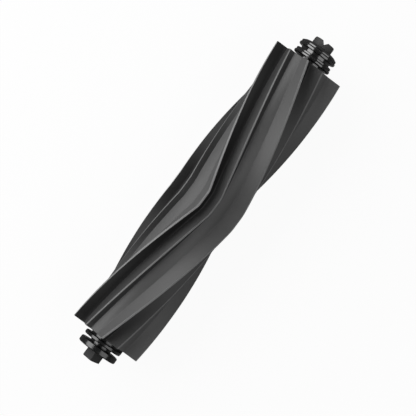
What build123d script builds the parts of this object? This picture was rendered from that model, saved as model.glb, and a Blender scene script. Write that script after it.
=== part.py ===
from build123d import *
import math
import os

# A roller brush of a robot vacuum cleaner, in millimetres. X is the axis that the roller spins about, +X points
# to the toothed drive end, and the origin is on that axis at the middle of the rubber sleeve. An angle round the
# axis is counted from +Z towards -Y.

# Rubber sleeve: five chevron fins with a lower ridge beside each.
SLEEVE_LENGTH = 163.8
FIN_COUNT = 5
FIN_RADIUS = 19.5
RIDGE_RADIUS = 16.5
ROOT_RADIUS = 13.8
SLEEVE_BORE_RADIUS = 11.0
FIN_TIP_WIDTH = 1.0
FIN_FOOT_WIDTH = 1.2
FIN_FLANK_ANGLE = 16.0
RIDGE_TIP_WIDTH = 0.8
RIDGE_WALL_WIDTH = 0.9
FIN_START_ANGLE = -7.4
RIDGE_START_ANGLE = 15.6
FIN_TWIST_PER_MM = 0.901
RIDGE_TWIST_PER_MM = 0.79
CHEVRON_FLAT_HALF = 4.4
CHEVRON_BLEND = 1.6
HELIX_STATIONS = 8

# A small pointed nib of rubber that stands out at the drive end of one fin, along its sloping side.
NIB_FIN = 1
NIB_LENGTH = 1.7
NIB_ROOT = 0.6
NIB_INSET = 0.15
NIB_TIP_DROP = 0.6
NIB_TIP_LEAN = 2.6

# Core tube and the keys that hold the sleeve from turning on it.
TUBE_WALL = 2.4
TUBE_RECESS = 0.5
SLEEVE_FIT = 0.05
KEY_COUNT = 5
KEY_WIDTH = 3.0
KEY_HEIGHT = 0.8
KEY_FIT = 0.05

# Steel shaft.
SHAFT_RADIUS = 2.5
JOURNAL_RADIUS = 1.5
JOURNAL_LENGTH = 5.2
SHAFT_CHAMFER = 0.3
SHAFT_FIT = 0.02
SNAP_GROOVE_FIT = 0.03

# End plugs, pressed into the core tube.
SPIGOT_LENGTH = 12.0
SPIGOT_WALL = 1.6
SPIGOT_FIT = 0.05
SPIGOT_END_WALL = 2.0
BOSS_RADIUS = 4.2
RIB_COUNT = 6
RIB_THICKNESS = 1.2
RIB_SINK = 0.2

# Idle plug flange, beside the standing bearing cap.
IDLE_NECK_RADIUS = 7.6
IDLE_NECK_LENGTH = 1.5
IDLE_FLANGE_RADIUS = 10.25
IDLE_FLANGE_THICKNESS = 2.0
IDLE_FLANGE_EDGE = 0.6

# Lug on the idle plug's collar, in the gap between the sleeve's end and the flange.
LUG_ANGLE = 90.0
LUG_RADIUS = 10.3
LUG_WIDTH = 2.4
LUG_GAP = 0.2

# Drive plug: two rounded flanges, each with a groove round its rim, a hub between them and a toothed dog ring.
DRIVE_NECK_RADIUS = 7.4
DRIVE_NECK_LENGTH = 1.35
DRIVE_FLANGE_RADIUS = 10.2
DRIVE_RIM_WIDTH = 1.45
DRIVE_RIM_EDGE = 0.8
DRIVE_RIM_BACK_EDGE = 0.15
DRIVE_GROOVE_WIDTH = 0.45
DRIVE_GROOVE_RADIUS = 9.3
DRIVE_LOW_RIM_RADIUS = 9.85
INNER_LOW_RIM_WIDTH = 1.05
LOW_RIM_EDGE = 0.45
DRIVE_HUB_RADIUS = 8.1
DRIVE_HUB_LENGTH = 1.5
OUTER_LOW_RIM_WIDTH = 0.8
SHOULDER_RADIUS = 8.2
SHOULDER_WIDTH = 0.9
SHOULDER_FOOT_RADIUS = 7.0
SHOULDER_FOOT_WIDTH = 0.3
DOG_RADIUS = 5.4
DOG_LENGTH = 3.65
DOG_BORE_RADIUS = 2.4
DOG_NOTCH_WIDTH = 3.0
DOG_NOTCH_DEPTH = 1.8
DOG_NOTCH_COUNT = 4
DOG_EDGE = 0.35
SHAFT_END_WALL = 1.6

# Ball bearing, 3 x 8 x 3 mm, with a shield on each side.
BEARING_BORE_RADIUS = 1.5
BEARING_OUTER_RADIUS = 4.0
BEARING_WIDTH = 3.0
INNER_LAND_RADIUS = 2.1
OUTER_LAND_RADIUS = 3.4
BALL_RADIUS = 0.794
BALL_COUNT = 7
BALL_CLEARANCE = 0.02
CAGE_INNER_RADIUS = 2.5
CAGE_OUTER_RADIUS = 3.0
CAGE_WIDTH = 2.1
CAGE_POCKET_CLEARANCE = 0.04
SHIELD_THICKNESS = 0.2
SHIELD_SEAT_DEPTH = 0.3
SHIELD_SEAT_STEP = 0.15
SHIELD_CLEARANCE = 0.1
RACE_EDGE = 0.15

# Small parts round the bearing.
SPACER_THICKNESS = 0.3
SPACER_OUTER_RADIUS = 2.05
SNAP_WIRE_RADIUS = 0.4
SNAP_RING_OPENING = 40.0
FELT_THICKNESS = 0.5
FELT_CLEARANCE = 0.05

# Standing bearing cap: hub, rounded flange and square block.
CAP_GAP = 0.3
CAP_HUB_RADIUS = 5.85
CAP_HUB_LENGTH = 0.9
CAP_FLANGE_RADIUS = 10.4
CAP_FLANGE_THICKNESS = 3.7
CAP_FLANGE_RIM = 3.0
CAP_FLANGE_EDGE = 0.7
BLOCK_WIDTH = 6.3
BLOCK_LENGTH = 4.5
BLOCK_TURN = 45.0
BLOCK_EDGE = 0.3
LEAD_IN_START = 1.0
LEAD_IN_DEPTH = 0.65
RELIEF_RADIUS = 2.3
RELIEF_DEPTH = 2.2
BEARING_SEAT_FIT = 0.01

# How far a cutting tool runs past the solid that it cuts.
OVERCUT = 1.0

# Places along the axis that several pieces share.
sleeve_end = SLEEVE_LENGTH / 2
tube_end = sleeve_end - TUBE_RECESS
tube_outer = SLEEVE_BORE_RADIUS - SLEEVE_FIT
tube_inner = tube_outer - TUBE_WALL
spigot_radius = tube_inner - SPIGOT_FIT
shaft_hole = SHAFT_RADIUS + SHAFT_FIT

idle_flange_face = sleeve_end + IDLE_NECK_LENGTH + IDLE_FLANGE_THICKNESS
cap_mouth = idle_flange_face + CAP_GAP
felt_end = cap_mouth + FELT_THICKNESS
bearing_near = felt_end + FELT_CLEARANCE
bearing_middle = bearing_near + BEARING_WIDTH / 2
bearing_far = bearing_near + BEARING_WIDTH
shaft_shoulder = bearing_near - SPACER_THICKNESS
journal_tip = shaft_shoulder + JOURNAL_LENGTH
snap_ring_place = bearing_far + SNAP_WIRE_RADIUS
cap_flange_near = cap_mouth + CAP_HUB_LENGTH
cap_flange_far = cap_flange_near + CAP_FLANGE_THICKNESS
block_end = cap_flange_far + BLOCK_LENGTH
relief_end = bearing_far + RELIEF_DEPTH

inner_flange_near = sleeve_end + DRIVE_NECK_LENGTH
inner_low_rim_near = inner_flange_near + DRIVE_RIM_WIDTH + DRIVE_GROOVE_WIDTH
inner_flange_far = inner_low_rim_near + INNER_LOW_RIM_WIDTH
outer_flange_near = inner_flange_far + DRIVE_HUB_LENGTH
outer_low_rim_near = outer_flange_near + DRIVE_RIM_WIDTH + DRIVE_GROOVE_WIDTH
shoulder_near = outer_low_rim_near + OUTER_LOW_RIM_WIDTH
dog_base = shoulder_near + SHOULDER_WIDTH + SHOULDER_FOOT_WIDTH
dog_end = dog_base + DOG_LENGTH
shaft_drive_end = dog_base - SHAFT_END_WALL

pitch_radius = (INNER_LAND_RADIUS + OUTER_LAND_RADIUS) / 2
groove_radius = BALL_RADIUS + BALL_CLEARANCE


def around(x, radius, degrees):
    """A point at a place along the axis, a radius from it and an angle round it."""
    a = math.radians(degrees)
    return Vector(x, -radius * math.sin(a), radius * math.cos(a))


def ring(x0, x1, outer, inner=0.0):
    """A plain ring or disc between two places on the axis."""
    low, high = min(x0, x1), max(x0, x1)
    disc = Solid.make_cylinder(outer, high - low, Plane(origin=(low, 0, 0), z_dir=(1, 0, 0)))
    if inner > 0:
        disc = disc - Solid.make_cylinder(inner, high - low, Plane(origin=(low, 0, 0), z_dir=(1, 0, 0)))
    return disc


def torus(depth, ring_radius, wire_radius):
    """A torus round the axis, at a depth towards the idle end."""
    return Solid.make_torus(ring_radius, wire_radius, Plane(origin=(-depth, 0, 0), z_dir=(1, 0, 0)))


def turned(outline):
    """A solid turned about X from the corners of its outline: place along the axis, radius and rounding."""
    face = Face(Wire.make_polygon([(x, 0, r) for x, r, rounding in outline], close=True))
    for x, r, rounding in outline:
        if rounding > 0:
            corner = face.vertices().sort_by_distance(Vector(x, 0, r))[0]
            face = face.fillet_2d(rounding, [corner])
    return Solid.revolve(face, 360, Axis.X)


def spun(shape, degrees):
    """A copy turned about the roller's axis, the way that angles are counted here."""
    return shape.rotate(Axis.X, degrees)


def edges_at(shape, x):
    """The edges of a shape that lie wholly at one place along the axis."""
    return [e for e in shape.edges() if abs(e.bounding_box().min.X - x) + abs(e.bounding_box().max.X - x) < 0.01]


def arc_degrees(width, radius):
    """The angle that a width takes up on a circle of a radius."""
    return math.degrees(width / radius)


def twist(x, per_mm):
    """How far a fin or ridge has turned at a place along the sleeve: none at the middle, rounded into a helix."""
    past = abs(x) - CHEVRON_FLAT_HALF
    if past <= -CHEVRON_BLEND:
        return 0.0
    if past < CHEVRON_BLEND:
        return per_mm * (past + CHEVRON_BLEND) ** 2 / (4 * CHEVRON_BLEND)
    return per_mm * past


def sleeve_section(x):
    """The sleeve's closed outline at one place: tip, steep side, ramp, ridge, wall and root, five times."""
    pitch = 360.0 / FIN_COUNT
    fin = FIN_START_ANGLE - twist(x, FIN_TWIST_PER_MM)
    ridge = RIDGE_START_ANGLE - twist(x, RIDGE_TWIST_PER_MM)
    half_tip = arc_degrees(FIN_TIP_WIDTH / 2, FIN_RADIUS)
    foot = half_tip + arc_degrees(FIN_FOOT_WIDTH, ROOT_RADIUS)
    half_ridge = arc_degrees(RIDGE_TIP_WIDTH / 2, RIDGE_RADIUS)
    wall_foot = half_ridge + arc_degrees(RIDGE_WALL_WIDTH, ROOT_RADIUS)
    edges = []
    for i in range(FIN_COUNT):
        turn = i * pitch
        flank_foot = around(x, ROOT_RADIUS, fin + turn - FIN_FLANK_ANGLE)
        tip_back = around(x, FIN_RADIUS, fin + turn - half_tip)
        tip_front = around(x, FIN_RADIUS, fin + turn + half_tip)
        steep_foot = around(x, ROOT_RADIUS, fin + turn + foot)
        ridge_back = around(x, RIDGE_RADIUS, ridge + turn - half_ridge)
        ridge_front = around(x, RIDGE_RADIUS, ridge + turn + half_ridge)
        wall_end = around(x, ROOT_RADIUS, ridge + turn + wall_foot)
        root_start = ridge + wall_foot
        root_end = fin + pitch - FIN_FLANK_ANGLE
        root_middle = around(x, ROOT_RADIUS, turn + (root_start + root_end) / 2)
        next_foot = around(x, ROOT_RADIUS, turn + root_end)
        edges.append(Edge.make_line(flank_foot, tip_back))
        edges.append(Edge.make_line(tip_back, tip_front))
        edges.append(Edge.make_line(tip_front, steep_foot))
        edges.append(Edge.make_line(steep_foot, ridge_back))
        edges.append(Edge.make_line(ridge_back, ridge_front))
        edges.append(Edge.make_line(ridge_front, wall_end))
        edges.append(Edge.make_three_point_arc(wall_end, root_middle, next_foot))
    return Wire(edges)


def make_rubber_sleeve():
    helix_start = CHEVRON_FLAT_HALF + CHEVRON_BLEND
    step = (sleeve_end - helix_start) / HELIX_STATIONS
    half = [0.0, CHEVRON_FLAT_HALF - CHEVRON_BLEND, CHEVRON_FLAT_HALF]
    half += [helix_start + i * step for i in range(HELIX_STATIONS + 1)]
    stations = [-x for x in reversed(half[1:])] + half
    body = Solid.make_loft([sleeve_section(x) for x in stations], ruled=True)
    cutter_length = SLEEVE_LENGTH + 2 * OVERCUT
    cutter = ring(-cutter_length / 2, cutter_length / 2, SLEEVE_BORE_RADIUS)
    for i in range(KEY_COUNT):
        cutter = cutter + key_bar(i, cutter_length, KEY_WIDTH + 2 * KEY_FIT, SLEEVE_BORE_RADIUS + KEY_HEIGHT)
    return body + end_nib() - cutter


def end_nib():
    """A thin spike whose triangular foot lies within the fin's section, just inside the sleeve's end."""
    foot_place = sleeve_end - NIB_ROOT
    tip_place = sleeve_end + NIB_LENGTH
    start = FIN_START_ANGLE + NIB_FIN * 360.0 / FIN_COUNT
    fin = start - twist(foot_place, FIN_TWIST_PER_MM)
    fin_at_tip = start - twist(tip_place, FIN_TWIST_PER_MM)
    top = around(foot_place, FIN_RADIUS - NIB_INSET, fin)
    back = around(foot_place, ROOT_RADIUS, fin - FIN_FLANK_ANGLE + arc_degrees(NIB_INSET, ROOT_RADIUS))
    front = around(foot_place, ROOT_RADIUS, fin)
    tip = around(tip_place, FIN_RADIUS - NIB_TIP_DROP, fin_at_tip - NIB_TIP_LEAN)
    corners = [(top, back, front), (top, tip, back), (back, tip, front), (front, tip, top)]
    return Solid(Shell([Face(Wire.make_polygon(corner, close=True)) for corner in corners]))


def key_bar(index, length, width, top):
    """One lengthwise key, or the groove for it, standing out to a radius."""
    low = tube_inner + TUBE_WALL / 2
    bar = Solid.make_box(length, width, top - low, Plane(origin=(-length / 2, -width / 2, low)))
    return spun(bar, index * 360.0 / KEY_COUNT)


def make_core_tube():
    tube = ring(-tube_end, tube_end, tube_outer)
    for i in range(KEY_COUNT):
        tube = tube + key_bar(i, 2 * tube_end, KEY_WIDTH, tube_outer + KEY_HEIGHT - KEY_FIT)
    return tube - ring(-tube_end - OVERCUT, tube_end + OVERCUT, tube_inner)


def make_steel_shaft():
    body = ring(-shaft_shoulder, shaft_drive_end, SHAFT_RADIUS)
    body = body + ring(-journal_tip, -shaft_shoulder, JOURNAL_RADIUS)
    body = body - torus(snap_ring_place, JOURNAL_RADIUS, SNAP_WIRE_RADIUS + SNAP_GROOVE_FIT)
    return body.chamfer(SHAFT_CHAMFER, None, edges_at(body, -journal_tip) + edges_at(body, shaft_drive_end))


def spigot(side):
    """The ribbed plug end that is pressed into the tube, from its inner end to the tube's end."""
    inner_end = tube_end - SPIGOT_LENGTH
    body = ring(side * inner_end, side * tube_end, spigot_radius)
    pocket_end = tube_end - SPIGOT_END_WALL
    body = body - ring(side * (inner_end - OVERCUT), side * pocket_end, spigot_radius - SPIGOT_WALL, BOSS_RADIUS)
    rib_length = pocket_end - inner_end
    rib_middle = side * (pocket_end + inner_end) / 2
    rib_height = spigot_radius - SPIGOT_WALL - BOSS_RADIUS + 2 * RIB_SINK
    for i in range(RIB_COUNT):
        rib = Solid.make_box(
            rib_length,
            RIB_THICKNESS,
            rib_height,
            Plane(origin=(rib_middle - rib_length / 2, -RIB_THICKNESS / 2, BOSS_RADIUS - RIB_SINK)),
        )
        body = body + spun(rib, i * 360.0 / RIB_COUNT)
    return body


def make_idle_plug():
    flange_near = sleeve_end + IDLE_NECK_LENGTH
    flange = ring(-idle_flange_face, -flange_near, IDLE_FLANGE_RADIUS)
    rims = edges_at(flange, -idle_flange_face) + edges_at(flange, -flange_near)
    flange = flange.fillet(IDLE_FLANGE_EDGE, rims)
    lug = Solid.make_box(
        IDLE_NECK_LENGTH - LUG_GAP + IDLE_FLANGE_THICKNESS / 2,
        LUG_WIDTH,
        LUG_RADIUS - IDLE_NECK_RADIUS / 2,
        Plane(origin=(-flange_near - IDLE_FLANGE_THICKNESS / 2, -LUG_WIDTH / 2, IDLE_NECK_RADIUS / 2)),
    )
    body = spigot(-1) + ring(-flange_near, -tube_end, IDLE_NECK_RADIUS) + flange + spun(lug, LUG_ANGLE)
    return body - ring(-idle_flange_face - OVERCUT, 0, shaft_hole)


def rim_corners(near):
    """The outline of a flange's high rim and of the groove behind it, from the rim's near face."""
    groove = near + DRIVE_RIM_WIDTH
    return [
        (near, DRIVE_FLANGE_RADIUS, DRIVE_RIM_EDGE),
        (groove, DRIVE_FLANGE_RADIUS, DRIVE_RIM_BACK_EDGE),
        (groove, DRIVE_GROOVE_RADIUS, 0),
        (groove + DRIVE_GROOVE_WIDTH, DRIVE_GROOVE_RADIUS, 0),
        (groove + DRIVE_GROOVE_WIDTH, DRIVE_LOW_RIM_RADIUS, 0),
    ]


def drive_profile():
    """The drive plug's turned outline, from the tube's end to the foot of the dog ring."""
    return [
        (tube_end, 0, 0),
        (tube_end, DRIVE_NECK_RADIUS, 0),
        (inner_flange_near, DRIVE_NECK_RADIUS, 0),
        *rim_corners(inner_flange_near),
        (inner_flange_far, DRIVE_LOW_RIM_RADIUS, LOW_RIM_EDGE),
        (inner_flange_far, DRIVE_HUB_RADIUS, 0),
        (outer_flange_near, DRIVE_HUB_RADIUS, 0),
        *rim_corners(outer_flange_near),
        (shoulder_near, DRIVE_LOW_RIM_RADIUS, LOW_RIM_EDGE),
        (dog_base - SHOULDER_FOOT_WIDTH, SHOULDER_RADIUS, LOW_RIM_EDGE),
        (dog_base, SHOULDER_FOOT_RADIUS, 0),
        (dog_base, 0, 0),
    ]


def make_drive_plug():
    body = spigot(1) + turned(drive_profile())
    dog = ring(dog_base, dog_end, DOG_RADIUS)
    dog = dog.chamfer(DOG_EDGE, None, edges_at(dog, dog_end))
    dog = dog - ring(dog_base, dog_end + OVERCUT, DOG_BORE_RADIUS)
    for i in range(DOG_NOTCH_COUNT):
        dog = dog - spun(dog_notch(), i * 360.0 / DOG_NOTCH_COUNT)
    body = body + dog
    return body - ring(0, shaft_drive_end, shaft_hole)


def dog_notch():
    """A V-shaped cutter across one side of the dog ring."""
    height = DOG_NOTCH_DEPTH + OVERCUT
    half = DOG_NOTCH_WIDTH / 2 * height / DOG_NOTCH_DEPTH
    tip = dog_end - DOG_NOTCH_DEPTH
    corners = [(tip, 0, 0), (tip + height, -half, 0), (tip + height, half, 0)]
    return Solid.extrude(Face(Wire.make_polygon(corners, close=True)), Vector(0, 0, DOG_RADIUS + OVERCUT))


def make_bearing_inner_race():
    body = ring(-bearing_far, -bearing_near, INNER_LAND_RADIUS, BEARING_BORE_RADIUS + BEARING_SEAT_FIT)
    return body - ball_groove()


def ball_groove():
    return torus(bearing_middle, pitch_radius, groove_radius)


def make_bearing_outer_race():
    body = ring(-bearing_far, -bearing_near, BEARING_OUTER_RADIUS)
    body = body.chamfer(RACE_EDGE, None, edges_at(body, -bearing_far) + edges_at(body, -bearing_near))
    body = body - ring(-bearing_far - OVERCUT, -bearing_near + OVERCUT, OUTER_LAND_RADIUS)
    seat = OUTER_LAND_RADIUS + SHIELD_SEAT_STEP
    body = body - ring(-bearing_near - SHIELD_SEAT_DEPTH, -bearing_near + OVERCUT, seat)
    body = body - ring(-bearing_far - OVERCUT, -bearing_far + SHIELD_SEAT_DEPTH, seat)
    return body - ball_groove()


def make_bearing_ball(index):
    centre = around(-bearing_middle, pitch_radius, index * 360.0 / BALL_COUNT)
    return Solid.make_sphere(BALL_RADIUS, Plane(origin=centre, z_dir=(1, 0, 0)))


def make_bearing_cage():
    half = CAGE_WIDTH / 2
    body = ring(-bearing_middle - half, -bearing_middle + half, CAGE_OUTER_RADIUS, CAGE_INNER_RADIUS)
    for i in range(BALL_COUNT):
        pocket = Solid.make_cylinder(
            BALL_RADIUS + CAGE_POCKET_CLEARANCE,
            CAGE_OUTER_RADIUS + OVERCUT,
            Plane(origin=(-bearing_middle, 0, 0), z_dir=around(0, 1, i * 360.0 / BALL_COUNT)),
        )
        body = body - pocket
    return body


def make_bearing_shield(inboard):
    seat = OUTER_LAND_RADIUS + SHIELD_SEAT_STEP
    inner = INNER_LAND_RADIUS + SHIELD_CLEARANCE
    if inboard:
        deep = -bearing_near - SHIELD_SEAT_DEPTH
        return ring(deep, deep + SHIELD_THICKNESS, seat, inner)
    deep = -bearing_far + SHIELD_SEAT_DEPTH
    return ring(deep - SHIELD_THICKNESS, deep, seat, inner)


def make_bearing_spacer():
    return ring(-bearing_near, -shaft_shoulder, SPACER_OUTER_RADIUS, JOURNAL_RADIUS + BEARING_SEAT_FIT)


def make_shaft_snap_ring():
    reach = JOURNAL_RADIUS + SNAP_WIRE_RADIUS + OVERCUT
    opening_half = reach * math.tan(math.radians(SNAP_RING_OPENING / 2))
    start = -snap_ring_place - SNAP_WIRE_RADIUS - OVERCUT
    corners = [(start, 0, 0), (start, -opening_half, reach), (start, opening_half, reach)]
    wedge_length = 2 * (SNAP_WIRE_RADIUS + OVERCUT)
    wedge = Solid.extrude(Face(Wire.make_polygon(corners, close=True)), Vector(wedge_length, 0, 0))
    return torus(snap_ring_place, JOURNAL_RADIUS, SNAP_WIRE_RADIUS) - wedge


def make_felt_seal():
    return ring(-felt_end, -cap_mouth, BEARING_OUTER_RADIUS, SHAFT_RADIUS + FELT_CLEARANCE)


def make_bearing_cap():
    rim_inset = (CAP_FLANGE_THICKNESS - CAP_FLANGE_RIM) / 2
    rim_near = -cap_flange_near - rim_inset
    rim_far = -cap_flange_far + rim_inset
    flange = turned(
        [
            (-cap_flange_near, 0, 0),
            (-cap_flange_near, CAP_HUB_RADIUS, 0),
            (rim_near, CAP_FLANGE_RADIUS, CAP_FLANGE_EDGE),
            (rim_far, CAP_FLANGE_RADIUS, CAP_FLANGE_EDGE),
            (-cap_flange_far, CAP_HUB_RADIUS, 0),
            (-cap_flange_far, 0, 0),
        ]
    )
    hub = ring(-cap_flange_near, -cap_mouth, CAP_HUB_RADIUS)
    half = BLOCK_WIDTH / 2
    block = Solid.make_box(BLOCK_LENGTH, BLOCK_WIDTH, BLOCK_WIDTH, Plane(origin=(-block_end, -half, -half)))
    block = spun(block.chamfer(BLOCK_EDGE, None, edges_at(block, -block_end)), BLOCK_TURN) - lead_in_cutter()
    body = hub + flange + block
    body = body - ring(-bearing_far, -cap_mouth + OVERCUT, BEARING_OUTER_RADIUS + BEARING_SEAT_FIT)
    return body - ring(-relief_end, -bearing_far, RELIEF_RADIUS)


def lead_in_cutter():
    """A wedge that slopes the -Y half of the block's end, so that the block slides into its slot."""
    corner = BLOCK_WIDTH / math.sqrt(2)
    slope = LEAD_IN_DEPTH / (corner - LEAD_IN_START)
    reach = corner + OVERCUT
    outline = [
        (-block_end, -LEAD_IN_START, -reach),
        (-block_end + slope * (reach - LEAD_IN_START), -reach, -reach),
        (-block_end - OVERCUT, -reach, -reach),
        (-block_end - OVERCUT, -LEAD_IN_START, -reach),
    ]
    return Solid.extrude(Face(Wire.make_polygon(outline, close=True)), Vector(0, 0, 2 * reach))


def write(node, solid):
    export_step(solid, f"parts/{node}.step")


os.makedirs("parts", exist_ok=True)
write("rubber_sleeve", make_rubber_sleeve())
write("core_tube", make_core_tube())
write("steel_shaft", make_steel_shaft())
write("drive_plug", make_drive_plug())
write("idle_plug", make_idle_plug())
write("bearing_cap", make_bearing_cap())
write("bearing_inner_race", make_bearing_inner_race())
write("bearing_outer_race", make_bearing_outer_race())
for ball in range(BALL_COUNT):
    write(f"bearing_ball_{ball + 1}", make_bearing_ball(ball))
write("bearing_cage", make_bearing_cage())
write("bearing_shield_inboard", make_bearing_shield(True))
write("bearing_shield_outboard", make_bearing_shield(False))
write("bearing_spacer", make_bearing_spacer())
write("shaft_snap_ring", make_shaft_snap_ring())
write("felt_seal", make_felt_seal())
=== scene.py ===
import math

import bpy
from mathutils import Matrix, Vector


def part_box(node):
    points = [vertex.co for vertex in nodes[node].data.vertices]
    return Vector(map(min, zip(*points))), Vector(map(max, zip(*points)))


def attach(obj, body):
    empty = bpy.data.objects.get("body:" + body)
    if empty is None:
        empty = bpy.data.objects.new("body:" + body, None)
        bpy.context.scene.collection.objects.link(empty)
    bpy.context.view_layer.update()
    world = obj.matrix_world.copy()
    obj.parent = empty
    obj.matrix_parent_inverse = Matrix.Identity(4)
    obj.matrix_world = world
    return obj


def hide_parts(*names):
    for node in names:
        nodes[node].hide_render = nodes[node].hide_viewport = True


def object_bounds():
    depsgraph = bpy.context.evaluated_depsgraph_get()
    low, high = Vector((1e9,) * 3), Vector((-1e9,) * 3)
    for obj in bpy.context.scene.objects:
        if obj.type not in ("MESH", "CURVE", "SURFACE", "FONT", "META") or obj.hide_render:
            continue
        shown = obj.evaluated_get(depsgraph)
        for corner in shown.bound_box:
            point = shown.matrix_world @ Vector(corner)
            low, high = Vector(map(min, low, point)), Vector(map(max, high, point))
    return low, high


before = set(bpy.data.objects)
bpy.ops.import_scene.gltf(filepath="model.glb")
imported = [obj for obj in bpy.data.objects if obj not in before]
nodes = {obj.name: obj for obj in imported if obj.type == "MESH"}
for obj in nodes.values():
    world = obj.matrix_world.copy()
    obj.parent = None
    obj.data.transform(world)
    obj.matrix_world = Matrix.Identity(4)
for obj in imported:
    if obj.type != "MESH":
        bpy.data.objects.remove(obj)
cad_low, cad_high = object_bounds()

# Rubber sleeve: one moulding of soft dark grey rubber, with five steep fins that form a chevron and a
# lower ridge on the ramp beside each. It is slipped over the core tube, whose keys lie in five grooves of
# its bore.
MM = 0.001
BODY_ROLLER = "roller"
sleeve_low, sleeve_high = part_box("rubber_sleeve")
SLEEVE_HALF = -sleeve_low.x
FIN_COUNT = 5
FIN_RADIUS = 19.5 * MM
RIDGE_RADIUS = 16.5 * MM
ROOT_RADIUS = 13.8 * MM
BORE_RADIUS = 11.0 * MM
GROOVE_RADIUS = 11.8 * MM
GROOVE_WIDTH = 3.1 * MM
FIN_TIP_WIDTH = 1.0 * MM
FIN_FOOT_WIDTH = 1.2 * MM
RIDGE_TIP_WIDTH = 0.8 * MM
RIDGE_WALL_WIDTH = 0.9 * MM
FIN_FLANK_ANGLE = 16.0
FIN_START_ANGLE = -7.4
RIDGE_START_ANGLE = 15.6
FIN_TWIST = 0.901 / MM
RIDGE_TWIST = 0.79 / MM
CHEVRON_FLAT_HALF = 4.4 * MM
CHEVRON_BLEND = 1.6 * MM
SLEEVE_STATIONS = 180
SLOPE_PARTS = 4
LAND_PARTS = 1
STEEP_PARTS = 3
RAMP_PARTS = 3
WALL_PARTS = 2
ROOT_PARTS = 5
BORE_PARTS = 8
BORE_STATIONS = 1
SLEEVE_EDGE = 0.16 * MM
EDGE_SEGMENTS = 2
SLEEVE_EDGE_ANGLE = 24
MERGE_DISTANCE = 0.001 * MM
END_TOLERANCE = 0.01 * MM
PITCH = 360 / FIN_COUNT
HALF_TIP = math.degrees(FIN_TIP_WIDTH / 2 / FIN_RADIUS)
STEEP_FOOT = HALF_TIP + math.degrees(FIN_FOOT_WIDTH / ROOT_RADIUS)
HALF_RIDGE = math.degrees(RIDGE_TIP_WIDTH / 2 / RIDGE_RADIUS)
WALL_FOOT = HALF_RIDGE + math.degrees(RIDGE_WALL_WIDTH / ROOT_RADIUS)


def around(x, radius, degrees):
    """A point at a place along the axis, a radius from it and an angle from +Z towards -Y."""
    a = math.radians(degrees)
    return Vector((x, -radius * math.sin(a), radius * math.cos(a)))


def twist(x, per_metre):
    """How far a fin has turned at a place along the sleeve: none at the middle, rounded into a helix."""
    past = abs(x) - CHEVRON_FLAT_HALF
    if past <= -CHEVRON_BLEND:
        return 0.0
    if past < CHEVRON_BLEND:
        return per_metre * (past + CHEVRON_BLEND) ** 2 / (4 * CHEVRON_BLEND)
    return per_metre * past


def stretch(start, end, parts):
    """Points from one corner to just before the next, as (radius, angle), at even steps of both."""
    points = []
    for i in range(parts):
        share = i / parts
        points.append((start[0] + (end[0] - start[0]) * share, start[1] + (end[1] - start[1]) * share))
    return points


def straight(start, end, parts):
    """The same along the straight line between the two corners."""
    a = around(0, *start)
    b = around(0, *end)
    points = []
    for i in range(parts):
        p = a.lerp(b, i / parts)
        points.append((p.length, math.degrees(math.atan2(-p.y, p.z))))
    return points


def sleeve_section(x):
    """The sleeve's outline at one place, once round, as (radius, angle)."""
    fin = FIN_START_ANGLE - twist(x, FIN_TWIST)
    ridge = RIDGE_START_ANGLE - twist(x, RIDGE_TWIST)
    corners = [
        (ROOT_RADIUS, fin - FIN_FLANK_ANGLE),
        (FIN_RADIUS, fin - HALF_TIP),
        (FIN_RADIUS, fin + HALF_TIP),
        (ROOT_RADIUS, fin + STEEP_FOOT),
        (RIDGE_RADIUS, ridge - HALF_RIDGE),
        (RIDGE_RADIUS, ridge + HALF_RIDGE),
        (ROOT_RADIUS, ridge + WALL_FOOT),
        (ROOT_RADIUS, fin + PITCH - FIN_FLANK_ANGLE),
    ]
    points = straight(corners[0], corners[1], SLOPE_PARTS)
    points += straight(corners[1], corners[2], LAND_PARTS)
    points += straight(corners[2], corners[3], STEEP_PARTS)
    points += straight(corners[3], corners[4], RAMP_PARTS)
    points += straight(corners[4], corners[5], LAND_PARTS)
    points += straight(corners[5], corners[6], WALL_PARTS)
    points += stretch(corners[6], corners[7], ROOT_PARTS)
    return [(r, a + i * PITCH) for i in range(FIN_COUNT) for r, a in points]


def bore_section(x):
    """The bore's outline with its five key grooves, as (radius, angle)."""
    half = math.degrees(GROOVE_WIDTH / 2 / BORE_RADIUS)
    points = [(GROOVE_RADIUS, -half), (GROOVE_RADIUS, half)]
    points += stretch((BORE_RADIUS, half), (BORE_RADIUS, PITCH - half), BORE_PARTS)
    points.append((BORE_RADIUS, PITCH - half))
    return [(r, a + i * PITCH) for i in range(FIN_COUNT) for r, a in points]


def wrapped_grid(name, section, half_length, stations):
    """A grid primitive wrapped round the axis, each of its rows laid on the section's outline there."""
    count = len(section(0.0))
    bpy.ops.object.select_all(action="DESELECT")
    bpy.ops.mesh.primitive_grid_add(x_subdivisions=stations, y_subdivisions=count, size=1)
    piece = bpy.context.object
    piece.name = name
    rows = {}
    for v in piece.data.vertices:
        i = round((v.co.x + 0.5) * stations)
        j = round((v.co.y + 0.5) * count)
        if i not in rows:
            x = half_length * (2 * i / stations - 1)
            rows[i] = [around(x, r, a) for r, a in section(x)]
        v.co = rows[i][j % count]
    bpy.ops.object.mode_set(mode="EDIT")
    bpy.ops.mesh.select_all(action="SELECT")
    bpy.ops.mesh.remove_doubles(threshold=MERGE_DISTANCE)
    bpy.ops.object.mode_set(mode="OBJECT")
    return piece


def select_vertices(piece, wanted):
    """Selects the vertices of a piece in edit mode that a test of their place picks."""
    bpy.ops.object.mode_set(mode="EDIT")
    bpy.ops.mesh.select_all(action="DESELECT")
    bpy.ops.object.mode_set(mode="OBJECT")
    for v in piece.data.vertices:
        v.select = wanted(v.co)
    bpy.ops.object.mode_set(mode="EDIT")
    bpy.ops.mesh.select_mode(type="VERT")


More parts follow.
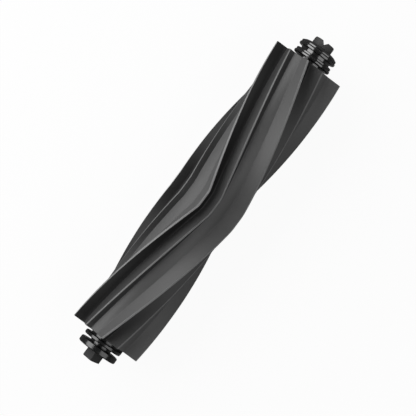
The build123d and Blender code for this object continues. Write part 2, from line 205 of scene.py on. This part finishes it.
def round_edges(piece, width, segments, angle=30):
    """Rounds a piece's sharp edges with a bevel that is applied."""
    bpy.context.view_layer.objects.active = piece
    bevel = piece.modifiers.new("rounded edges", "BEVEL")
    bevel.limit_method = "ANGLE"
    bevel.angle_limit = math.radians(angle)
    bevel.width = width
    bevel.segments = segments
    bpy.ops.object.modifier_apply(modifier=bevel.name)


def smooth_faces(piece, angle=50):
    """Shades a piece smooth, with its broad faces kept flat and its small roundings taking up the turn."""
    bpy.ops.object.select_all(action="DESELECT")
    piece.select_set(True)
    bpy.context.view_layer.objects.active = piece
    bpy.ops.object.shade_smooth_by_angle(angle=math.radians(angle))
    weighted = piece.modifiers.new("broad faces first", "WEIGHTED_NORMAL")
    weighted.keep_sharp = True
    bpy.ops.object.modifier_apply(modifier=weighted.name)


def add_solid(piece, other):
    """Unites another closed mesh with a piece and removes the other."""
    bpy.context.view_layer.objects.active = piece
    union = piece.modifiers.new("united", "BOOLEAN")
    union.operation = "UNION"
    union.solver = "EXACT"
    union.object = other
    bpy.ops.object.modifier_apply(modifier=union.name)
    bpy.data.objects.remove(other)


def paint(piece, name, amount):
    """Stores a number for each vertex of a piece, worked out from its place, for a material to read."""
    layer = piece.data.attributes.new(name, "FLOAT", "POINT")
    for v in piece.data.vertices:
        layer.data[v.index].value = amount(v.co)


def past_fin(p):
    """How far round a point lies from the fin before it, in degrees, and how far the ridge lies from it."""
    fin = FIN_START_ANGLE - twist(p.x, FIN_TWIST)
    ridge = RIDGE_START_ANGLE - twist(p.x, RIDGE_TWIST)
    angle = math.degrees(math.atan2(-p.y, p.z))
    return (angle - fin + HALF_TIP) % PITCH - HALF_TIP, ridge - fin


def painted_shade_amount(p):
    """How much shade is painted on a point between the fins, from 0 to 1.

    The painted shade is darkest on a fin's steep side. It grows lighter up the ramp beside it towards the
    ridge, except in the chevron's middle, where it stays dark, and it is dark again on the ridge's wall.
    """
    radius = math.hypot(p.y, p.z)
    angle, ridge = past_fin(p)
    if radius < ROOT_RADIUS - SLEEVE_EDGE or angle > ridge + WALL_FOOT:
        return 0.0
    if angle > ridge + HALF_RIDGE * WALL_START:
        return WALL_DARKNESS
    if angle > ridge - HALF_RIDGE or radius > FIN_RADIUS - SLEEVE_EDGE / 2:
        return 0.0
    if angle < STEEP_FOOT * STEEP_END:
        return 1.0
    climb = (angle - STEEP_FOOT) / (ridge - HALF_RIDGE - STEEP_FOOT)
    middle = max(1 - abs(p.x) / MIDDLE_REACH, 0.0)
    foot = RAMP_DARKEST + (MIDDLE_FOOT - RAMP_DARKEST) * middle
    crest = RAMP_LIGHTEST + (MIDDLE_CREST - RAMP_LIGHTEST) * middle
    return foot + (crest - foot) * min(max(climb, 0.0), 1.0)


def on_land(p):
    """1 on the narrow land along the top of a fin, where a highlight is painted, and less on a ridge's."""
    radius = math.hypot(p.y, p.z)
    angle, ridge = past_fin(p)
    if radius > FIN_RADIUS - SLEEVE_EDGE / 2:
        return 1.0
    if abs(angle - ridge) < HALF_RIDGE and radius > RIDGE_RADIUS - SLEEVE_EDGE / 2:
        return RIDGE_HIGHLIGHT
    return 0.0


def linear(hex_colour):
    """An sRGB hex colour as the linear colour that a socket takes."""
    channels = [int(hex_colour[i : i + 2], 16) / 255 for i in (1, 3, 5)]
    return tuple(c / 12.92 if c <= 0.04045 else ((c + 0.055) / 1.055) ** 2.4 for c in channels) + (1.0,)


def add_node(tree, kind, settings=(), links=()):
    """Adds a node, sets its properties and sockets by name, and links (from socket, input name) pairs."""
    node = tree.nodes.new(kind)
    for key, value in dict(settings).items():
        if isinstance(key, int) or key in node.inputs:
            node.inputs[key].default_value = value
        else:
            setattr(node, key, value)
    for source, target in links:
        tree.links.new(source, node.inputs[target])
    return node


def new_material(name):
    """A material with an empty tree apart from its shader, which is returned with it."""
    material = bpy.data.materials.new(name)
    material.use_nodes = True
    tree = material.node_tree
    return material, tree, tree.nodes["Principled BSDF"]


# Nib: a small pointed spike of the same rubber, moulded with the sleeve. It stands out from the sleeve's
# drive end along the sloping side of one fin.
NIB_FIN = 1
NIB_LENGTH = 1.7 * MM
NIB_ROOT = 0.6 * MM
NIB_INSET = 0.15 * MM
NIB_TIP_DROP = 0.6 * MM
NIB_TIP_LEAN = 2.6
NIB_EDGE = 0.08 * MM


def end_nib():
    """A thin spike on a triangular foot within the fin's section, just inside the sleeve's end."""
    foot_place = SLEEVE_HALF - NIB_ROOT
    tip_place = SLEEVE_HALF + NIB_LENGTH
    start = FIN_START_ANGLE + NIB_FIN * PITCH
    fin = start - twist(foot_place, FIN_TWIST)
    fin_at_tip = start - twist(tip_place, FIN_TWIST)
    inset = math.degrees(NIB_INSET / ROOT_RADIUS)
    corners = [
        around(foot_place, FIN_RADIUS - NIB_INSET, fin),
        around(foot_place, ROOT_RADIUS, fin - FIN_FLANK_ANGLE + inset),
        around(foot_place, ROOT_RADIUS, fin),
        around(tip_place, FIN_RADIUS - NIB_TIP_DROP, fin_at_tip - NIB_TIP_LEAN),
    ]
    bpy.ops.object.select_all(action="DESELECT")
    bpy.ops.mesh.primitive_cone_add(vertices=3, radius1=NIB_LENGTH, depth=NIB_LENGTH)
    nib = bpy.context.object
    for v, corner in zip(nib.data.vertices, corners):
        v.co = corner
    bpy.ops.object.mode_set(mode="EDIT")
    bpy.ops.mesh.select_all(action="SELECT")
    bpy.ops.mesh.normals_make_consistent(inside=False)
    bpy.ops.object.mode_set(mode="OBJECT")
    round_edges(nib, NIB_EDGE, EDGE_SEGMENTS)
    return nib


# Vulcanised rubber moulded in a finely blasted tool: satin, almost neutral dark grey. Shade is painted into
# its colour on the steep sides and the hollows beside them, and a highlight is painted along the tops of the
# fins. The blasting's grain is drawn about twice its real size, so that it shows from near.
RUBBER_GREY = "#525252"
# Painted shade grey, for the steep sides and the hollows between the fins.
PAINTED_SHADE_GREY = "#121212"
# Painted highlight grey, for the tops of the fins.
PAINTED_HIGHLIGHT_GREY = "#7A7A7A"
# How much shade is painted on the ramp, in the chevron's middle and on the ridge's wall.
RAMP_DARKEST = 0.65
RAMP_LIGHTEST = 0.5
MIDDLE_FOOT = 0.15
MIDDLE_CREST = 1.0
MIDDLE_REACH = 26 * MM
WALL_DARKNESS = 0.7
WALL_START = 0.8
STEEP_END = 0.9
# How much of the painted highlight a ridge's top gets.
RIDGE_HIGHLIGHT = 0.5
RUBBER_ROUGHNESS = 0.52
RUBBER_IOR = 1.52
RUBBER_GRAIN = 0.12 * MM
RUBBER_GRAIN_DETAIL = 2.0
RUBBER_RELIEF = 0.12
RUBBER_DEPTH = 0.02 * MM
rubber, tree, shader = new_material("moulded_satin_rubber")
shader.inputs["Roughness"].default_value = RUBBER_ROUGHNESS
shader.inputs["IOR"].default_value = RUBBER_IOR
place = add_node(tree, "ShaderNodeTexCoord")
painted_shade = add_node(tree, "ShaderNodeAttribute", {"attribute_name": "painted_shade"})
land = add_node(tree, "ShaderNodeAttribute", {"attribute_name": "land"})
# Painted shade: the grey darkens between the fins by the stored amount.
with_painted_shade = add_node(
    tree,
    "ShaderNodeMixRGB",
    {"Color1": linear(RUBBER_GREY), "Color2": linear(PAINTED_SHADE_GREY)},
    [(painted_shade.outputs["Fac"], "Fac")],
)
# Painted highlight: the grey pales along the tops of the fins and ridges.
with_painted_highlight = add_node(
    tree,
    "ShaderNodeMixRGB",
    {"Color2": linear(PAINTED_HIGHLIGHT_GREY)},
    [(land.outputs["Fac"], "Fac"), (with_painted_shade.outputs["Color"], "Color1")],
)
tree.links.new(with_painted_highlight.outputs["Color"], shader.inputs["Base Color"])
grain = add_node(
    tree,
    "ShaderNodeTexNoise",
    {"Scale": 1 / RUBBER_GRAIN, "Detail": RUBBER_GRAIN_DETAIL},
    [(place.outputs["Object"], "Vector")],
)
bump = add_node(
    tree,
    "ShaderNodeBump",
    {"Strength": RUBBER_RELIEF, "Distance": RUBBER_DEPTH},
    [(grain.outputs["Fac"], "Height")],
)
tree.links.new(bump.outputs["Normal"], shader.inputs["Normal"])

bore = wrapped_grid("sleeve_bore", bore_section, SLEEVE_HALF, BORE_STATIONS)
sleeve = wrapped_grid("finned_sleeve", sleeve_section, SLEEVE_HALF, SLEEVE_STATIONS)
bore.select_set(True)
bpy.ops.object.join()
for end in (-SLEEVE_HALF, SLEEVE_HALF):
    select_vertices(sleeve, lambda p: abs(p.x - end) < END_TOLERANCE)
    bpy.ops.mesh.fill()
bpy.ops.mesh.select_all(action="SELECT")
bpy.ops.mesh.normals_make_consistent(inside=False)
bpy.ops.object.mode_set(mode="OBJECT")
round_edges(sleeve, SLEEVE_EDGE, EDGE_SEGMENTS, SLEEVE_EDGE_ANGLE)
add_solid(sleeve, end_nib())
smooth_faces(sleeve)
# Painted shade between the fins, stored for the rubber's colour to read.
paint(sleeve, "painted_shade", painted_shade_amount)
# Painted highlight along the fin and ridge tops, stored for the rubber's colour to read.
paint(sleeve, "land", on_land)
sleeve.data.materials.append(rubber)
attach(sleeve, BODY_ROLLER)
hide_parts("rubber_sleeve")

# Drive plug: injection-moulded black acetal with two flanges, each with a groove round its rim, and a
# toothed dog ring. Its spigot is pressed into the core tube, and it turns with the roller.
ACETAL_BLACK = "#0A0A0B"
ACETAL_IOR = 1.75
ACETAL_SPECULAR = 1.0
ACETAL_GLOSS = (0.08, 0.22)
ACETAL_WAVE = 2.5 * MM
ACETAL_RELIEF = (0.2, 0.02 * MM)
GROOVE_PLACES = (84.92 * MM, 89.38 * MM)
GROOVE_REACH = 0.26 * MM
GROOVE_ROUGHNESS = 1.0
DOG_BASE = 91.6 * MM
DOG_ROUGHNESS = 0.8


def dress(material, *names):
    """Gives CAD nodes a material in place of their plain one."""
    for name in names:
        nodes[name].data.materials.clear()
        nodes[name].data.materials.append(material)


def surface_noise(tree, size, detail=2.0, squeeze=(1, 1, 1)):
    """Noise fixed to the object, with patches of a size, longer along an axis whose squeeze is under 1."""
    place = add_node(tree, "ShaderNodeTexCoord")
    scaled = add_node(tree, "ShaderNodeMapping", {"Scale": squeeze}, [(place.outputs["Object"], "Vector")])
    settings = {"Scale": 1 / size, "Detail": detail}
    return add_node(tree, "ShaderNodeTexNoise", settings, [(scaled.outputs["Vector"], "Vector")])


def finish_from(tree, shader, noise, gloss, relief):
    """Lets one noise vary the roughness between two values and raise the surface by (strength, depth)."""
    settings = {"To Min": gloss[0], "To Max": gloss[1]}
    spread = add_node(tree, "ShaderNodeMapRange", settings, [(noise.outputs["Fac"], "Value")])
    tree.links.new(spread.outputs["Result"], shader.inputs["Roughness"])
    settings = {"Strength": relief[0], "Distance": relief[1]}
    bump = add_node(tree, "ShaderNodeBump", settings, [(noise.outputs["Fac"], "Height")])
    tree.links.new(bump.outputs["Normal"], shader.inputs["Normal"])
    return spread.outputs["Result"]


def dull_band(tree, gloss, start, end, roughness):
    """Makes a roughness at least as high as a given one between two places along the roller."""
    place = add_node(tree, "ShaderNodeTexCoord")
    along = add_node(tree, "ShaderNodeSeparateXYZ", {}, [(place.outputs["Object"], "Vector")])
    settings = {"operation": "COMPARE", 1: (start + end) / 2, 2: (end - start) / 2}
    inside = add_node(tree, "ShaderNodeMath", settings, [(along.outputs["X"], 0)])
    settings = {"operation": "MULTIPLY", 1: roughness}
    dull = add_node(tree, "ShaderNodeMath", settings, [(inside.outputs[0], 0)])
    settings = {"operation": "MAXIMUM"}
    return add_node(tree, "ShaderNodeMath", settings, [(dull.outputs[0], 0), (gloss, 1)]).outputs[0]


# Polished acetal is nearly black and mirrors the lamps as sharp bright strips, which the slight waves of
# a moulded face, a few millimetres wide, make waver. The grooves and the teeth keep the tool's matt
# finish.
acetal, tree, shader = new_material("polished_black_acetal")
shader.inputs["Base Color"].default_value = linear(ACETAL_BLACK)
shader.inputs["IOR"].default_value = ACETAL_IOR
shader.inputs["Specular IOR Level"].default_value = ACETAL_SPECULAR
gloss = finish_from(tree, shader, surface_noise(tree, ACETAL_WAVE), ACETAL_GLOSS, ACETAL_RELIEF)
for groove in GROOVE_PLACES:
    gloss = dull_band(tree, gloss, groove - GROOVE_REACH, groove + GROOVE_REACH, GROOVE_ROUGHNESS)
gloss = dull_band(tree, gloss, DOG_BASE, cad_high.x, DOG_ROUGHNESS)
tree.links.new(gloss, shader.inputs["Roughness"])
dress(acetal, "drive_plug")

# Idle plug and bearing cap: injection-moulded black ABS. The plug is pressed into the core tube and turns
# with the roller. The cap stands still in the cleaner on its square block, and the roller turns in it.
ABS_BLACK = "#0B0B0C"
ABS_IOR = 1.54
ABS_SPECULAR = 1.0
ABS_GLOSS = (0.14, 0.3)
ABS_WAVE = 2.0 * MM
ABS_RELIEF = (0.25, 0.02 * MM)
BLOCK_BASE = -90.3 * MM
BLOCK_ROUGHNESS = 0.65
# Moulded ABS has a plain gloss, a little softer than the acetal's, with the same slight waves. The block
# is matt from its tool.
abs_plastic, tree, shader = new_material("glossy_black_abs")
shader.inputs["Base Color"].default_value = linear(ABS_BLACK)
shader.inputs["IOR"].default_value = ABS_IOR
shader.inputs["Specular IOR Level"].default_value = ABS_SPECULAR
gloss = finish_from(tree, shader, surface_noise(tree, ABS_WAVE), ABS_GLOSS, ABS_RELIEF)
gloss = dull_band(tree, gloss, cad_low.x, BLOCK_BASE, BLOCK_ROUGHNESS)
tree.links.new(gloss, shader.inputs["Roughness"])
dress(abs_plastic, "idle_plug", "bearing_cap")

# Core tube: a stiff tube extruded from dark glass-filled nylon, pushed into the sleeve. The keys along
# its outside lie in the sleeve's grooves and keep it from slipping round.
NYLON_GREY = "#1D1D1E"
NYLON_IOR = 1.53
NYLON_GLOSS = (0.5, 0.75)
NYLON_FIBRE = 0.25 * MM
NYLON_FIBRE_DETAIL = 3.0
NYLON_STRETCH = (0.2, 1, 1)
NYLON_RELIEF = (0.3, 0.02 * MM)
# The short glass fibres lie along the tube, so it looks matt and faintly streaked from end to end.
nylon, tree, shader = new_material("matt_filled_nylon")
shader.inputs["Base Color"].default_value = linear(NYLON_GREY)
shader.inputs["IOR"].default_value = NYLON_IOR
fibres = surface_noise(tree, NYLON_FIBRE, NYLON_FIBRE_DETAIL, NYLON_STRETCH)
finish_from(tree, shader, fibres, NYLON_GLOSS, NYLON_RELIEF)
dress(nylon, "core_tube")

# Shaft, spacer, snap ring and bearing shields: bright steel. The shaft and the spacer are ground, the
# ring is bent from drawn wire, and the shields are stamped from sheet and snapped into the outer race.
STEEL_COLOUR = "#BDBEBF"
STEEL_GLOSS = (0.22, 0.38)
GRINDING_LINE = 0.08 * MM
GRINDING_DETAIL = 1.0
GRINDING_STRETCH = (1, 0.03, 0.03)
STEEL_RELIEF = (0.15, 0.004 * MM)
# Grinding and drawing leave bright steel with fine lines round the axis. Real lines are about a hundredth
# of a millimetre wide and are drawn wider here, so that they show.
steel, tree, shader = new_material("ground_bright_steel")
shader.inputs["Base Color"].default_value = linear(STEEL_COLOUR)
shader.inputs["Metallic"].default_value = 1.0
lines = surface_noise(tree, GRINDING_LINE, GRINDING_DETAIL, GRINDING_STRETCH)
finish_from(tree, shader, lines, STEEL_GLOSS, STEEL_RELIEF)
dress(
    steel,
    "steel_shaft",
    "bearing_spacer",
    "shaft_snap_ring",
    "bearing_shield_inboard",
    "bearing_shield_outboard",
)

# Ball bearing: two races and seven balls of hardened chrome steel, ground and then lapped. The inner race
# is pressed onto the shaft's journal, and the outer race sits in the cap.
BEARING_COLOUR = "#C6C7CA"
LAPPING_GLOSS = (0.06, 0.14)
LAPPING_CLOUD = 0.3 * MM
BALL_COUNT = 7
# Lapping leaves a mirror, with a faint clouding and no lines.
chrome_steel, tree, shader = new_material("lapped_bearing_steel")
shader.inputs["Base Color"].default_value = linear(BEARING_COLOUR)
shader.inputs["Metallic"].default_value = 1.0
clouding = surface_noise(tree, LAPPING_CLOUD)
spread = add_node(
    tree,
    "ShaderNodeMapRange",
    {"To Min": LAPPING_GLOSS[0], "To Max": LAPPING_GLOSS[1]},
    [(clouding.outputs["Fac"], "Value")],
)
tree.links.new(spread.outputs["Result"], shader.inputs["Roughness"])
dress(chrome_steel, "bearing_inner_race", "bearing_outer_race")
for i in range(BALL_COUNT):
    dress(chrome_steel, f"bearing_ball_{i + 1}")

# Ball cage: a ring stamped from brass sheet. Its seven pockets space the balls out evenly as they roll
# between the races.
BRASS_COLOUR = "#C2A05C"
BRASS_GLOSS = (0.22, 0.36)
ROLLING_MARK = 0.15 * MM
ROLLING_DETAIL = 2.0
ROLLING_STRETCH = (1, 0.2, 1)
BRASS_RELIEF = (0.1, 0.005 * MM)
# Warm yellow metal, a little dulled by oil, with the sheet's rolling marks faint along one way.
brass, tree, shader = new_material("stamped_brass")
shader.inputs["Base Color"].default_value = linear(BRASS_COLOUR)
shader.inputs["Metallic"].default_value = 1.0
marks = surface_noise(tree, ROLLING_MARK, ROLLING_DETAIL, ROLLING_STRETCH)
finish_from(tree, shader, marks, BRASS_GLOSS, BRASS_RELIEF)
dress(brass, "bearing_cage")

# Felt seal: a ring punched from pressed wool felt and pushed into the cap's mouth, where it keeps hair
# and dust out of the bearing.
FELT_LIGHT = "#B7B1A2"
FELT_DARK = "#8F897B"
FELT_ROUGHNESS = 0.95
FELT_SHEEN = 0.4
FELT_FIBRE = 0.09 * MM
FELT_FIBRE_DETAIL = 4.0
FELT_RELIEF = (0.8, 0.05 * MM)
# Soft and dull, with short fibres that catch the light. They are drawn about three times as thick as
# wool, so that they show.
felt, tree, shader = new_material("pressed_wool_felt")
fibres = surface_noise(tree, FELT_FIBRE, FELT_FIBRE_DETAIL)
tone = add_node(
    tree,
    "ShaderNodeMixRGB",
    {"Color1": linear(FELT_DARK), "Color2": linear(FELT_LIGHT)},
    [(fibres.outputs["Fac"], "Fac")],
)
tree.links.new(tone.outputs["Color"], shader.inputs["Base Color"])
shader.inputs["Roughness"].default_value = FELT_ROUGHNESS
shader.inputs["Sheen Weight"].default_value = FELT_SHEEN
bump = add_node(
    tree,
    "ShaderNodeBump",
    {"Strength": FELT_RELIEF[0], "Distance": FELT_RELIEF[1]},
    [(fibres.outputs["Fac"], "Height")],
)
tree.links.new(bump.outputs["Normal"], shader.inputs["Normal"])
dress(felt, "felt_seal")

# Floor: a wide sweep of plain pale paper that the roller lies on. The camera sees it nearly white near
# the roller, with a soft shadow, and pure white farther off, where it meets the white room. The black
# plastic mirrors it dimly, as if dark card stood beside the roller.
FLOOR_SIZE = 6.0
PAPER_COLOUR = "#F4F4F4"
PAPER_ROUGHNESS = 0.9
SEEN_WHITE = 0.94
MIRRORED_WHITE = 0.12
WHITE_STRENGTH = 1.0
PURE_WHITE = (1, 1, 1, 1)
SHADOW_REACH = 0.25
PURE_WHITE_FROM = 0.6
bpy.ops.mesh.primitive_plane_add(size=FLOOR_SIZE, location=(0, 0, -FIN_RADIUS))
floor = bpy.context.object
floor.name = "floor"
paper, tree, shader = new_material("white_paper_sweep")
shader.inputs["Base Color"].default_value = linear(PAPER_COLOUR)
shader.inputs["Roughness"].default_value = PAPER_ROUGHNESS
path = add_node(tree, "ShaderNodeLightPath")
floor_place = add_node(tree, "ShaderNodeTexCoord")
from_middle = add_node(
    tree,
    "ShaderNodeVectorMath",
    {"operation": "LENGTH"},
    [(floor_place.outputs["Object"], 0)],
)
white = add_node(
    tree,
    "ShaderNodeMapRange",
    {"From Min": SHADOW_REACH, "From Max": PURE_WHITE_FROM, "To Min": SEEN_WHITE, "To Max": WHITE_STRENGTH},
    [(from_middle.outputs["Value"], "Value")],
)
mirrored = add_node(
    tree,
    "ShaderNodeMath",
    {"operation": "MAXIMUM"},
    [(path.outputs["Is Glossy Ray"], 0), (path.outputs["Is Transmission Ray"], 1)],
)
strength = add_node(
    tree,
    "ShaderNodeMapRange",
    {"To Min": WHITE_STRENGTH, "To Max": MIRRORED_WHITE},
    [(mirrored.outputs[0], "Value")],
)
glow = add_node(
    tree,
    "ShaderNodeEmission",
    {"Color": PURE_WHITE},
    [(strength.outputs["Result"], "Strength")],
)
direct = add_node(
    tree,
    "ShaderNodeMath",
    {"operation": "MULTIPLY"},
    [(path.outputs["Is Camera Ray"], 0), (white.outputs["Result"], 1)],
)
share = add_node(
    tree,
    "ShaderNodeMath",
    {"operation": "MAXIMUM"},
    [(direct.outputs[0], 0), (mirrored.outputs[0], 1)],
)
mixed = add_node(
    tree,
    "ShaderNodeMixShader",
    {},
    [(share.outputs[0], 0), (shader.outputs[0], 1), (glow.outputs[0], 2)],
)
tree.links.new(mixed.outputs[0], tree.nodes["Material Output"].inputs["Surface"])
floor.data.materials.append(paper)

# Studio: two long softboxes above the roller, the brighter one on the +Y side, draw the strips that run
# along its glossy ends. A third, low on the +Y side, only lights the rubber. The room is dim, and white
# only where the camera looks straight at it.
BOX_DISTANCE = 0.55
BOX_LENGTH = 0.9
KEY_ANGLE = -52
KEY_WIDTH = 0.42
KEY_POWER = 3.15
FILL_ANGLE = 42
FILL_WIDTH = 0.46
FILL_POWER = 1.42
SIDE_ANGLE = -82
SIDE_WIDTH = 0.25
SIDE_POWER = 1.7
ROOM_LIGHT = 0.06


def softbox(name, degrees, width, power):
    """An area light along the roller, at an angle round it and facing it."""
    data = bpy.data.lights.new(name, "AREA")
    data.shape = "RECTANGLE"
    data.size = BOX_LENGTH
    data.size_y = width
    data.energy = power
    lamp = bpy.data.objects.new(name, data)
    lamp.location = around(0, BOX_DISTANCE, degrees)
    lamp.rotation_euler = (math.radians(degrees), 0, 0)
    lamp.visible_camera = False
    bpy.context.scene.collection.objects.link(lamp)
    return lamp


softbox("key_softbox", KEY_ANGLE, KEY_WIDTH, KEY_POWER)
softbox("fill_softbox", FILL_ANGLE, FILL_WIDTH, FILL_POWER)
side = softbox("side_softbox", SIDE_ANGLE, SIDE_WIDTH, SIDE_POWER)
side.visible_glossy = False

world = bpy.data.worlds.new("white_studio")
bpy.context.scene.world = world
world.use_nodes = True
tree = world.node_tree
background = tree.nodes["Background"]
background.inputs["Color"].default_value = PURE_WHITE
path = add_node(tree, "ShaderNodeLightPath")
room = add_node(
    tree,
    "ShaderNodeMapRange",
    {"To Min": ROOM_LIGHT, "To Max": WHITE_STRENGTH},
    [(path.outputs["Is Camera Ray"], "Value")],
)
tree.links.new(room.outputs[0], background.inputs["Strength"])

# Camera: above the roller, turned so that the roller lies across the frame from lower left to upper
# right. PIXEL is what one pixel of the frame spans at the axis, and the two CENTRE values say how many
# pixels the sleeve's middle stands left of and above the frame's.
PIXEL = 0.4815 * MM
CAMERA_HEIGHT = 1.107
CAMERA_TURN = math.radians(-53.44)
CAMERA_LEAN = math.radians(-0.8)
CAMERA_TILT = math.radians(-0.4)
FRAME_PIXELS = 416
SENSOR = 36.0
CENTRE_RIGHT = 0.41
CENTRE_DOWN = 6.52
right = Vector((math.cos(CAMERA_TURN), math.sin(CAMERA_TURN), 0))
up = Vector((-math.sin(CAMERA_TURN), math.cos(CAMERA_TURN), 0))
camera_data = bpy.data.cameras.new("camera")
camera_data.sensor_width = SENSOR
camera_data.lens = SENSOR * CAMERA_HEIGHT / (FRAME_PIXELS * PIXEL)
camera = bpy.data.objects.new("camera", camera_data)
place = right * CENTRE_RIGHT * PIXEL - up * CENTRE_DOWN * PIXEL + Vector((0, 0, CAMERA_HEIGHT))
lean = Matrix.Rotation(CAMERA_LEAN, 4, "X") @ Matrix.Rotation(CAMERA_TILT, 4, "Y")
camera.matrix_world = lean @ Matrix.Translation(place) @ Matrix.Rotation(CAMERA_TURN, 4, "Z")
bpy.context.scene.collection.objects.link(camera)
bpy.context.scene.camera = camera
bpy.context.scene.view_settings.view_transform = "Standard"
